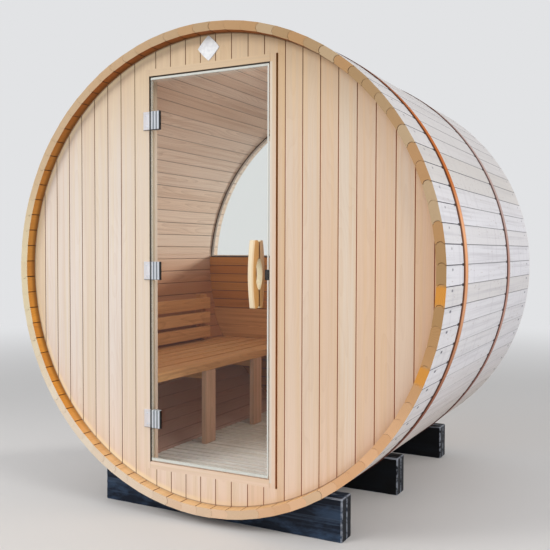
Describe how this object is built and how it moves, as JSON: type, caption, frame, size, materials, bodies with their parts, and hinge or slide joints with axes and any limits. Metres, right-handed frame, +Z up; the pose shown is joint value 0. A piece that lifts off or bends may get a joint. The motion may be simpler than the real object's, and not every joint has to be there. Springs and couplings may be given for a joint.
{
  "type": "barrel sauna",
  "caption": "Staved barrel sauna on three cradles, with a boarded front wall, a hinged full-height glass door, a half-moon rear window, slatted floor and bench.",
  "frame": {"origin": "on the ground, under the middle of the barrel", "axes": "+Z up, -Y towards the glass door, +X to the right of someone facing the door"},
  "size_m": [2.1078, 1.74, 2.146],
  "materials": {
    "badge_enamel": "white",
    "band_steel": "coppery steel strap",
    "bench_wood": "warm planed wood",
    "catch_metal": "black",
    "clear_glass": "clear toughened glass",
    "cradle_timber": "dark stained timber",
    "floor_wood": "pale slats",
    "handle_wood": "smooth pale wood",
    "hinge_metal": "polished",
    "stave_wood": "weathered planed softwood",
    "wall_wood": "pale planed softwood"
  },
  "bodies": {
    "cabin": {"backrest_posts": "bench_wood", "backrest_rails": "bench_wood", "badge_plate": "badge_enamel", "band_front": "band_steel", "band_middle": "band_steel", "bench_bearers": "bench_wood", "bench_front_rail": "bench_wood", "bench_legs": "bench_wood", "bench_seat": "bench_wood", "cradle_front": "cradle_timber", "cradle_middle": "cradle_timber", "cradle_rear": "cradle_timber", "door_catch": "catch_metal", "door_frame_head": "wall_wood", "door_frame_left": "wall_wood", "door_frame_right": "wall_wood", "door_frame_sill": "wall_wood", "floor_bearers": "floor_wood", "floor_slats": "floor_wood", "front_wall_above_door": "wall_wood", "front_wall_below_door": "wall_wood", "front_wall_left": "wall_wood", "front_wall_right": "wall_wood", "hinge_frame_leaves": "hinge_metal", "rear_backrest": "bench_wood", "rear_wall": "wall_wood", "rear_window": "clear_glass", "staves_01": "stave_wood", "staves_02": "stave_wood", "staves_03": "stave_wood", "staves_04": "stave_wood", "staves_05": "stave_wood", "staves_06": "stave_wood", "staves_07": "stave_wood", "staves_08": "stave_wood", "staves_09": "stave_wood", "staves_10": "stave_wood", "staves_11": "stave_wood", "staves_12": "stave_wood"},
    "door": {"door_glass": "clear_glass", "door_handle_inner": "handle_wood", "door_handle_outer": "handle_wood", "hinge_clamps": "hinge_metal"}
  },
  "joints": [
    {"name": "door_hinge", "type": "hinge", "parent": "cabin", "child": "door", "pos_m": [-0.305, -0.823, 1.092], "axis": [0, 0, -1], "range_deg": [0, 100]}
  ]
}
